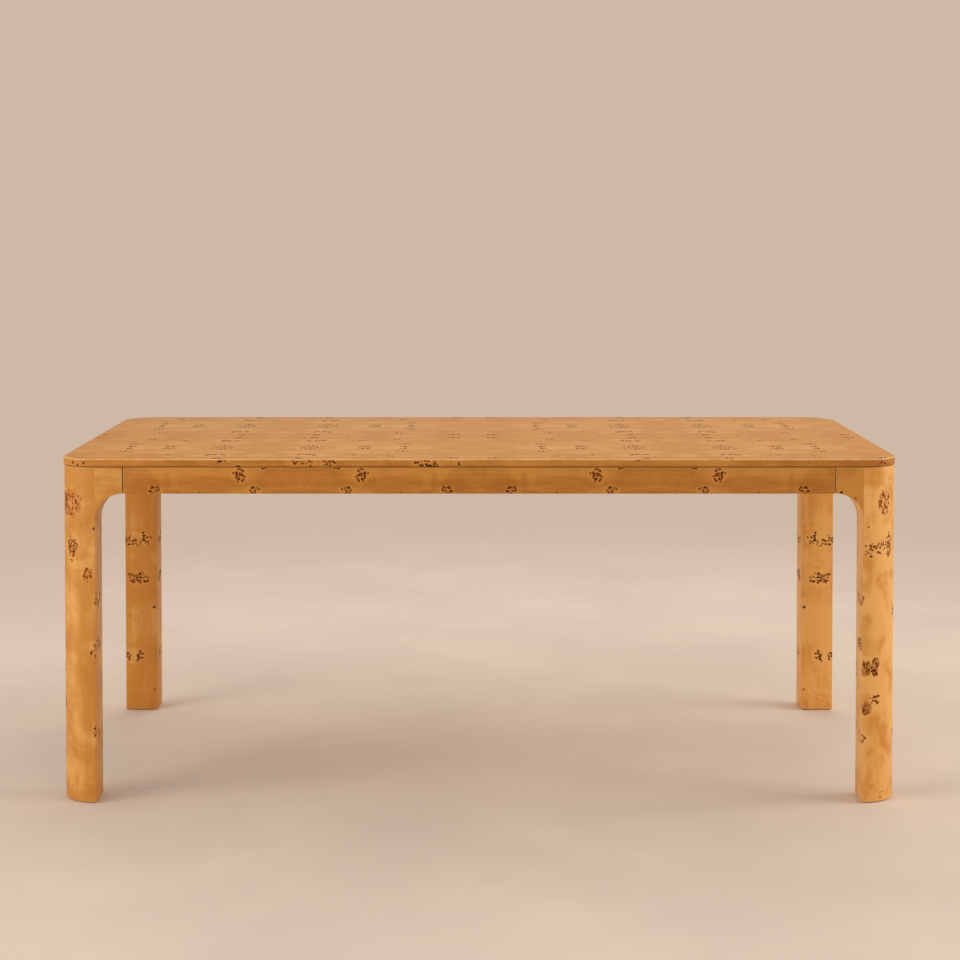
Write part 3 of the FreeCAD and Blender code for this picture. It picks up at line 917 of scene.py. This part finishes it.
class TABLE_OT_veneered_top(bpy.types.Operator):
    """Models the veneer skin of the top: its face, its edge band and the room for the board"""

    bl_idname = "table.veneered_top"
    bl_label = "Veneered top"
    BAND, FACE, RIM = range(3)  # numbers of the finishes

    def execute(self, context):
        shape = context.scene.table_shape
        top = add_block("veneered_top", BAND_LOW, TOP_HIGH)
        give_finishes(
            top,
            burl("band_burl", plain_leaf, BAND_KNOTS, BAND_FIBRE, warmth=0.22, clouds=0.6),
            burl(
                "top_burl", top_leaf, TOP_KNOTS, LONG_FIBRE,
                warmth=-0.05, clouds=0.65, coarse=1.05, red_share=0.7,
            ),
            # The rounded upper rim is paler still: a painted highlight along the rim, with some
            # rubbed wear
            eased_edge("top_arris", highlight_lift=0.12),
        )
        paint_faces(top, self.FACE, lambda middle, normal: normal.z > TOWARDS)
        start_editing()
        pick("EDGE", lambda edge: abs(edge.verts[0].co.z - edge.verts[1].co.z) > TOUCH)
        round_edges(POST_HIGH.x - TOP_LOW.x, shape.round_steps)
        pick("FACE", looks(-UP))
        bpy.ops.mesh.inset(thickness=CORE_LOW.x - BAND_LOW.x)
        push_out(UP * (CORE_HIGH.z - BAND_LOW.z))
        pick("EDGE", lambda edge: all_points(edge, lambda p: p.z > TOP_HIGH.z - TOUCH))
        # The rounding of the upper rim gets the paler rim finish, a painted highlight
        round_edges(shape.top_arris, RIM_STEPS, finish=self.RIM)
        pick("EDGE", lambda edge: is_arris(edge) and is_lower_rim(edge))
        round_edges(shape.arris / 2, ARRIS_STEPS)
        close_up()
        stop_editing()
        finish_piece(top, "top_face_veneer", "top_edge_band")
        return {"FINISHED"}


def draw_knee(axis, flat, steps):
    """Draws the upper part of a flat face out to the seam, with a concave sweep under it."""
    turns = [math.pi / 2 * i / steps for i in range(steps + 1)]
    levels = [KNEE_TOE + KNEE_RADIUS * math.sin(turn) for turn in turns]
    for level in levels:
        pick("FACE", looks(flat))
        cut_across((0, 0, level), UP)
    pick("FACE", lambda face: looks(flat)(face) and middle_of(face).z > KNEE_TOE)
    push_out(flat * KNEE_RADIUS)
    seam = flat.dot(axis) + KNEE_RADIUS
    for turn, level in zip(turns, levels):
        off = lambda vertex: max(abs(vertex.co.z - level), abs(flat.dot(vertex.co) - seam))
        pick("VERT", lambda vertex: off(vertex) < TOUCH)
        bpy.ops.transform.translate(value=-flat * KNEE_RADIUS * math.cos(turn))


def is_inside(edge):
    """Edges of the head that only the underside of the table shows."""
    start = Vector((POST_HIGH.x, POST_HIGH.y, KNEE_TOE))
    return all_points(edge, lambda p: min(p - start) > -TOUCH)


def is_knee_side(middle, normal):
    """Outer sides of the two knees, which have a leaf of their own."""
    long_side = middle.x > POST_HIGH.x and normal.y < -NEARLY
    end_side = middle.y > POST_HIGH.y and normal.x < -NEARLY
    return long_side or end_side


def is_in_bore(middle):
    """Faces well within the leg, round its foot."""
    foot = (PAD_LOW + PAD_HIGH) / 2
    is_round_foot = (middle - foot).to_2d().length < PAD_HIGH.x - PAD_LOW.x
    return is_round_foot and middle.z < STUD_HIGH.z * BORE_MARGIN


def bore_for_foot(leg, clearance):
    """Sinks the stepped bore of a levelling foot into the end of the leg."""
    foot = (PAD_LOW + PAD_HIGH) / 2
    foot.z = PAD_LOW.z
    pad_radius = (PAD_HIGH.x - PAD_LOW.x) / 2 + clearance
    stud_radius = (STUD_HIGH.x - STUD_LOW.x) / 2
    sleeve_radius = foot.x - INSERT_LOW.x
    cutter = add_column("foot_bore", foot, pad_radius, INSERT_LOW.z - PAD_LOW.z, BORE_STEPS)
    start_editing()
    pick("FACE", looks(UP))
    bpy.ops.mesh.inset(thickness=pad_radius - sleeve_radius)
    push_out(UP * (INSERT_HIGH.z - INSERT_LOW.z))
    bpy.ops.mesh.inset(thickness=sleeve_radius - stud_radius)
    push_out(UP * (STUD_HIGH.z + clearance - INSERT_HIGH.z))
    stop_editing()
    take(leg)
    bore = leg.modifiers.new("foot bore", "BOOLEAN")
    bore.object = cutter
    bpy.ops.object.modifier_apply(modifier=bore.name)
    bpy.data.meshes.remove(cutter.data)


class TABLE_OT_legs(bpy.types.Operator):
    """Models one quarter-round leg with its two knees and copies it to the four corners"""

    bl_idname = "table.legs"
    bl_label = "Legs"
    POST, KNEE, SEAM, END = range(4)  # numbers of the finishes

    def execute(self, context):
        front = {"cloud_scale": 14, "coarse": 0.78, "red_share": 0.72}
        rear = {"clouds": 0.8, "coarse": 0.95, "red_share": 0.5}
        pair = (REAR_KNOTS, matched_legs_leaf, 1, 1)
        # The right-hand legs are paler (lower warmth) and brighter (light above 1) than the
        # left-hand ones: painted light of the key lamp on the right
        finishes = {
            "front_left": leg_burl(
                "front_left_burl", FRONT_LEFT_KNOTS, plain_leaf, -1, -1,
                warmth=-0.05, clouds=0.9, **front,
            ),
            "front_right": leg_burl(
                "front_right_burl", FRONT_RIGHT_KNOTS, plain_leaf, 1, -1,
                warmth=-0.24, clouds=1.2, light=1.10, **front,
            ),
            "rear_left": leg_burl("rear_left_burl", *pair, warmth=0.02, **rear),
            "rear_right": leg_burl("rear_right_burl", *pair, warmth=-0.21, light=1.2, **rear),
        }
        on_knees = (plain_leaf, KNEE_KNOTS, KNEE_FIBRE)
        knee = burl("knee_burl", *on_knees, warmth=0.14, clouds=0.9)
        pale_knee = burl("front_left_knee_burl", *on_knees, warmth=-0.10, clouds=0.9)
        leg = self.front_left_leg(context.scene.table_shape)
        pieces = {"front_left": leg}
        for corner, (along_x, along_y) in CORNERS.items():
            if corner != "front_left":
                pieces[corner] = mirrored_copy(leg, corner + "_leg", along_x, along_y)
        for corner, piece in pieces.items():
            piece.data.materials[self.POST] = finishes[corner]
            piece.data.materials[self.KNEE] = pale_knee if corner == "front_left" else knee
            nodes = [corner + end for end in ("_leg_post", "_long_knee", "_end_knee")]
            finish_piece(piece, *nodes)
        return {"FINISHED"}

    def front_left_leg(self, shape):
        """A quarter of a column with two knees. Its veneers are still left open."""
        axis = Vector((POST_HIGH.x, POST_HIGH.y, POST_LOW.z))
        height = POST_HIGH.z - POST_LOW.z
        leg = add_column("front_left_leg", axis, LEG_RADIUS, height, 4 * shape.round_steps)
        # Paler finish for the arrises beside the seams and the shadow line: partly rubbed wear,
        # partly painted highlight
        seam_edge = eased_edge("seam_arris", highlight_lift=0.0)
        give_finishes(leg, None, None, seam_edge, bpy.data.materials["frame_wood"])
        start_editing()
        for flat in (ALONG, REARWARD):
            bpy.ops.mesh.select_all(action="SELECT")
            cut_across(axis, flat, keep_all=False)
        close_up()
        for flat in (ALONG, REARWARD):
            draw_knee(axis, flat, shape.sweep_steps)
        close_up()
        pick("EDGE", lambda edge: is_arris(edge) and not is_inside(edge))
        round_edges(shape.arris, ARRIS_STEPS)
        close_up()
        stop_editing()
        # The rounded upper rim of the head takes the paler arris finish, partly rubbed wear and
        # partly painted highlight
        rim_low = POST_HIGH.z - shape.arris
        is_rim = lambda middle, normal: middle.z > rim_low and normal.z < ROUNDED_OFF
        is_end = lambda middle, normal: normal.z < -NEARLY or is_in_bore(middle)
        paint_faces(leg, self.KNEE, is_knee_side)
        paint_faces(leg, self.SEAM, is_rim)
        bore_for_foot(leg, shape.foot_clearance)
        paint_faces(leg, self.END, is_end)
        return leg


class TABLE_OT_aprons(bpy.types.Operator):
    """Models an apron for a long side and one for an end, and copies each to the other side"""

    bl_idname = "table.aprons"
    bl_label = "Aprons"
    OUTSIDE, GROOVE, SEAM, INSIDE = range(4)  # numbers of the finishes

    def execute(self, context):
        arris = context.scene.table_shape.arris
        look = {"warmth": 0.21, "clouds": 0.7, "coarse": 0.72, "red_share": 0.4}
        long_burl = burl("apron_burl", apron_leaf, APRON_KNOTS, LONG_FIBRE, **look)
        end_burl = burl("end_apron_burl", end_apron_leaf, END_APRON_KNOTS, CROSS_FIBRE, **look)
        front = self.apron("front", ALONG, -REARWARD, long_burl, arris)
        left = self.apron("left", REARWARD, -ALONG, end_burl, arris)
        rear = mirrored_copy(front, "rear_veneered_apron", 1, -1)
        right = mirrored_copy(left, "right_veneered_apron", -1, 1)
        for side, piece in (("front", front), ("rear", rear), ("left", left), ("right", right)):
            finish_piece(piece, side + "_apron")
        return {"FINISHED"}

    def apron(self, side, run, outward, finish, arris):
        """A rail with a tongue at each end, drawn in from the outer face and the lower edge."""
        low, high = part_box(side + "_apron")
        gap, depth = LINE_WIDTH, GROOVE_DEPTH * LINE_DEPTH
        body_low = low + run * gap
        body_high = high - run * gap
        piece = add_block(side + "_veneered_apron", body_low, body_high)
        plain_wood = bpy.data.materials["frame_wood"]
        seam_edge = bpy.data.materials["seam_arris"]
        give_finishes(piece, finish, bpy.data.materials["dark_spacer"], seam_edge, plain_wood)
        # The ends, which face into the groove at each seam, get the black spacer stain, which also
        # paints the shade deep in the groove
        paint_faces(piece, self.GROOVE, lambda middle, normal: abs(normal.dot(run)) > TOWARDS)
        paint_faces(piece, self.INSIDE, lambda middle, normal: normal.dot(outward) < -TOWARDS)
        outer_face = outward.dot(low if sum(outward) < 0 else high)
        start_editing()
        tongue_face = outer_face - depth
        tongue_low = low.z + depth
        for end in (run, -run):
            pick("FACE", looks(end))
            cut_across(outward * tongue_face, outward)
            pick("FACE", looks(end))
            cut_across((0, 0, tongue_low), UP)

        def is_tongue(face):
            middle = middle_of(face)
            return outward.dot(middle) < tongue_face and middle.z > tongue_low

        for end in (run, -run):
            pick("FACE", lambda face: looks(end)(face) and is_tongue(face))
            push_out(end * gap)
        shoulder = run.dot(body_high) + TOUCH
        is_on_body = lambda point: abs(run.dot(point)) < shoulder
        # Rounded arrises take the paler arris finish, partly rubbed wear and partly painted
        # highlight; the lower ones are given back the veneer below
        pick("EDGE", lambda edge: is_arris(edge) and all_points(edge, is_on_body))
        round_edges(arris, ARRIS_STEPS, finish=self.SEAM)
        close_up()
        stop_editing()
        edge_high = low.z + arris
        is_lower = lambda middle, normal: middle.z < edge_high and abs(normal.dot(run)) < ACROSS
        paint_faces(piece, self.OUTSIDE, is_lower)
        return piece


class TABLE_OT_hidden_frame(bpy.types.Operator):
    """Gives every node of the frame that stays in view the finish of its material slot"""

    bl_idname = "table.hidden_frame"
    bl_label = "Frame finishes"

    def execute(self, context):
        finishes = hidden_finishes()
        for part in frame["record"]["subparts"]:
            finish = finishes.get(part["material_slot"])
            if finish is None:
                continue
            mesh = frame["nodes"][part["node"]].data
            mesh.materials.clear()
            mesh.materials.append(finish)
        return {"FINISHED"}


# Studio

FLOOR_REACH = 4.2
FLOOR_CLEAR = 1.5  # radius at which it begins to fade
FLOOR_STEPS = 96
FLOOR_DROP = 0.0004  # under the feet
FLOOR_MOTTLE = 0.05  # lighter and darker than its colour
SENSOR_WIDTH = 36
SKY_COLOUR = (1.0, 0.98, 0.95)
LAMP_COLOUR = (1.0, 0.95, 0.88)
LAMP_AIM = Vector((0, 0, 0.5))
# Place, width and the setting that holds the power
LAMPS = {
    "key": (Vector((6.2, -0.8, 2.9)), 4.0, "key_power"),
    "fill": (Vector((-4.6, -2.8, 2.0)), 3.0, "fill_power"),
    "rear": (Vector((0.3, 2.3, 3.6)), 3.0, "rear_power"),
}


def lay_floor(studio):
    """A wide round floor that fades into the surroundings far out."""
    start_clean()
    bpy.ops.mesh.primitive_circle_add(
        vertices=FLOOR_STEPS, radius=FLOOR_REACH, fill_type="NGON", location=-FLOOR_DROP * UP
    )
    floor = name_piece("floor")
    start_editing()
    bpy.ops.mesh.select_all(action="SELECT")
    bpy.ops.mesh.inset(thickness=FLOOR_REACH - FLOOR_CLEAR)
    stop_editing()
    material, place = new_finish("floor")
    mottle = place.noise(1.6, detail=4, roughness=0.55)
    pale = [min(1, (1 + FLOOR_MOTTLE) * c) for c in studio.floor_colour]
    deep = [(1 - FLOOR_MOTTLE) * c for c in studio.floor_colour]
    colour = mottle.tones((0.3, deep), (0.7, pale))
    feed(material, base_color=colour, roughness=0.7 + 0.1 * mottle)
    tree = material.node_tree
    away = place.vector("LENGTH", output="Value").ramp(FLOOR_CLEAR, FLOOR_REACH)
    gone = tree.nodes.new("ShaderNodeBsdfTransparent")
    blend = tree.nodes.new("ShaderNodeMixShader")
    tree.links.new(away.socket, blend.inputs[0])
    tree.links.new(tree.nodes["Principled BSDF"].outputs[0], blend.inputs[1])
    tree.links.new(gone.outputs[0], blend.inputs[2])
    tree.links.new(blend.outputs[0], tree.nodes["Material Output"].inputs["Surface"])
    floor.data.materials.append(material)


def light_room(studio):
    """Even light from all round, with soft lamps on the right, on the left and at the rear."""
    world = bpy.data.worlds.new("studio")
    bpy.context.scene.world = world
    world.use_nodes = True
    tree = world.node_tree
    backdrop = tree.nodes["Background"]
    path = Signal(tree, tree.nodes.new("ShaderNodeLightPath"), "Is Camera Ray")
    seen = path.math("MAXIMUM", path, path.other("Is Glossy Ray"))
    level = studio.sky_level + (1 - studio.sky_level) * seen
    colour = seen.over((*SKY_COLOUR, 1), (*studio.wall_colour, 1))
    tree.links.new(colour.socket, backdrop.inputs["Color"])
    tree.links.new(level.socket, backdrop.inputs["Strength"])
    for name, (place, size, power) in LAMPS.items():
        start_clean()
        turn = (LAMP_AIM - place).to_track_quat("-Z", "Y").to_euler()
        bpy.ops.object.light_add(type="AREA", location=place, rotation=turn)
        lamp = bpy.context.object
        lamp.name = name
        lamp.data.energy = getattr(studio, power)
        lamp.data.size = size
        lamp.data.color = LAMP_COLOUR
        lamp.visible_camera = False


def place_camera(studio):
    start_clean()
    turn = (math.pi / 2 - studio.camera_tilt, 0, 0)
    bpy.ops.object.camera_add(location=studio.camera_place, rotation=turn)
    camera = bpy.context.object
    camera.name = "camera"
    camera.data.lens = studio.lens
    camera.data.sensor_width = SENSOR_WIDTH
    camera.data.shift_x = studio.camera_shift[0]
    camera.data.shift_y = studio.camera_shift[1]
    bpy.context.scene.camera = camera


class TABLE_OT_studio(bpy.types.Operator):
    """Sets up the floor, the soft light and the camera"""

    bl_idname = "table.studio"
    bl_label = "Studio"

    def execute(self, context):
        studio = context.scene.table_studio
        lay_floor(studio)
        light_room(studio)
        place_camera(studio)
        context.scene.view_settings.view_transform = "Standard"
        return {"FINISHED"}


class TABLE_PT_dresser(bpy.types.Panel):
    """Pieces, finish and studio of the table"""

    bl_label = "Burl table"
    bl_space_type = "VIEW_3D"
    bl_region_type = "UI"
    bl_category = "Table"

    def draw(self, context):
        layout = self.layout
        for step in STEPS:
            layout.operator(step.bl_idname)
        for group_name in GROUPS:
            group = getattr(context.scene, group_name)
            box = layout.box()
            for name in group.bl_rna.properties.keys():
                if name not in ("rna_type", "name"):
                    box.prop(group, name)


STEPS = (
    TABLE_OT_hidden_frame, TABLE_OT_veneered_top, TABLE_OT_legs, TABLE_OT_aprons, TABLE_OT_studio
)
GROUPS = {"table_shape": TableShape, "table_finish": VeneerFinish, "table_studio": Studio}


def register():
    for kind in (*GROUPS.values(), *STEPS, TABLE_PT_dresser):
        bpy.utils.register_class(kind)
    for name, group in GROUPS.items():
        setattr(bpy.types.Scene, name, bpy.props.PointerProperty(type=group))


def unregister():
    for name in GROUPS:
        delattr(bpy.types.Scene, name)
    for kind in reversed((*GROUPS.values(), *STEPS, TABLE_PT_dresser)):
        bpy.utils.unregister_class(kind)


def main():
    register()
    bpy.ops.table.hidden_frame()
    bpy.ops.table.veneered_top()
    bpy.ops.table.legs()
    bpy.ops.table.aprons()
    bpy.ops.table.studio()


if __name__ == "__main__":
    main()
